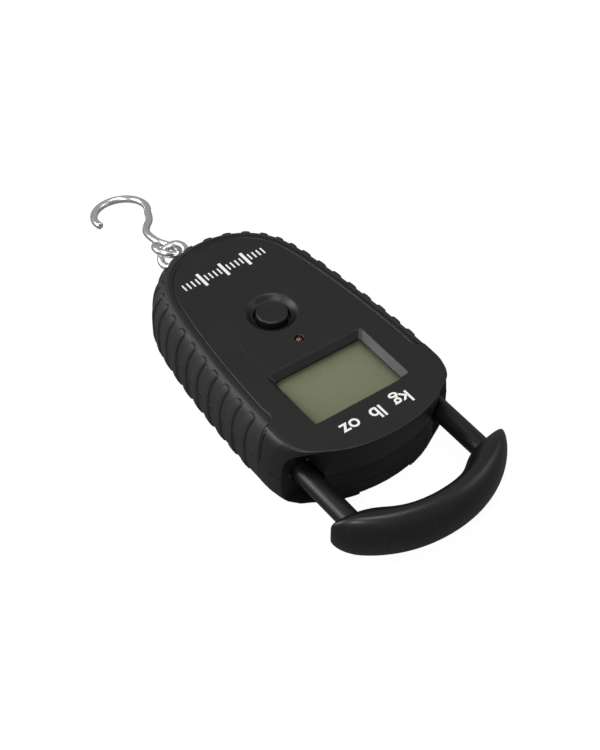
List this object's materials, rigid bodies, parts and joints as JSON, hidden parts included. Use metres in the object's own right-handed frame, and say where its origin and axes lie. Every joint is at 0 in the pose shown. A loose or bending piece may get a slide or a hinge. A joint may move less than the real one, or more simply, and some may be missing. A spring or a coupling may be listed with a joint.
{
  "type": "digital fish scale",
  "caption": "Hand-held digital hanging scale: rubber-banded housing with display and button, sliding crescent grip on two rods, and a steel wire hook on a swivelling eye.",
  "frame": {"origin": "middle of the whole length and width, on the plane of the flat back that the scale lies on", "axes": "+X across the body to the right with the display up and the hook ahead, +Y from the grip to the hook, +Z out of the display"},
  "size_m": [0.0782, 0.2291, 0.0302],
  "materials": {
    "face_plastic": "satin black moulded plastic, very fine grain",
    "case_plastic": "matt black moulded plastic",
    "rubber": "dark grey ribbed soft-touch rubber",
    "grip_plastic": "satin black moulded plastic",
    "rod_black": "black satin coated rod",
    "steel": "polished stainless wire and plated screws",
    "aluminium": "machined",
    "nickel": "nickel plated spring steel",
    "nylon": "natural nylon",
    "window_clear": "clear display lens",
    "lcd_glass": "grey green reflective display",
    "board_green": "circuit board with solder mask",
    "lamp_red": "red translucent lamp",
    "cell_wrap": "plain wrapped battery cell",
    "chip_black": "moulded component",
    "gauge_foil": "foil strain gauge"
  },
  "bodies": {
    "housing": {"front_shell": "face_plastic", "rear_shell": "case_plastic", "front_rubber_grip": "rubber", "rear_rubber_grip": "rubber", "display_window": "window_clear", "lcd_panel": "lcd_glass", "lcd_carrier": "nylon", "elastomer_strip": "rubber", "main_board": "board_green", "controller_chip": "chip_black", "status_lamp": "lamp_red", "tact_switch": "chip_black", "battery_left": "cell_wrap", "battery_right": "cell_wrap", "contact_plate_left": "nickel", "contact_plate_right": "nickel", "contact_plate_bridge": "nickel", "battery_spring_handle_end": "nickel", "battery_spring_inner_end": "nickel", "load_cell": "aluminium", "strain_gauge_inner": "gauge_foil", "strain_gauge_outer": "gauge_foil", "load_cell_screw_left": "steel", "load_cell_screw_right": "steel", "eye_bushing": "nylon", "guide_bush_left": "nylon", "guide_bush_right": "nylon", "case_screw_1": "steel", "board_screw_1": "steel", "case_screw_2": "steel", "board_screw_2": "steel", "case_screw_3": "steel", "board_screw_3": "steel", "case_screw_4": "steel", "board_screw_4": "steel"},
    "grip_slide": {"handle_grip": "grip_plastic", "slide_rod_left": "rod_black", "slide_rod_right": "rod_black", "stop_collar_left": "steel", "stop_collar_right": "steel"},
    "button": {"power_button": "face_plastic", "switch_plunger": "nylon"},
    "swivel_eye": {"eye_bolt": "steel", "eye_bolt_nut": "steel"},
    "hook": {"hook": "steel"},
    "door": {"battery_door": "case_plastic"}
  },
  "joints": [
    {"name": "grip_slide", "type": "slide", "parent": "housing", "child": "grip_slide", "axis": [0, 1, 0], "range_m": [0, 0.02]},
    {"name": "button_press", "type": "slide", "parent": "housing", "child": "button", "axis": [0, 0, -1], "range_m": [0, 0.0007], "stiffness_N_per_m": 2000, "springref_m": -0.0006},
    {"name": "eye_swivel", "type": "hinge", "parent": "housing", "child": "swivel_eye", "pos_m": [0, 0.0469, 0.009], "axis": [0, 1, 0], "continuous": true},
    {"name": "hook_swing", "type": "hinge", "parent": "swivel_eye", "child": "hook", "pos_m": [0, 0.0624, 0.009], "axis": [-0.4067, 0, 0.9135], "range_deg": [-45, 45]},
    {"name": "battery_door_open", "type": "hinge", "parent": "housing", "child": "door", "pos_m": [0, -0.016, 0.0009], "axis": [1, 0, 0], "range_deg": [0, 100]}
  ]
}
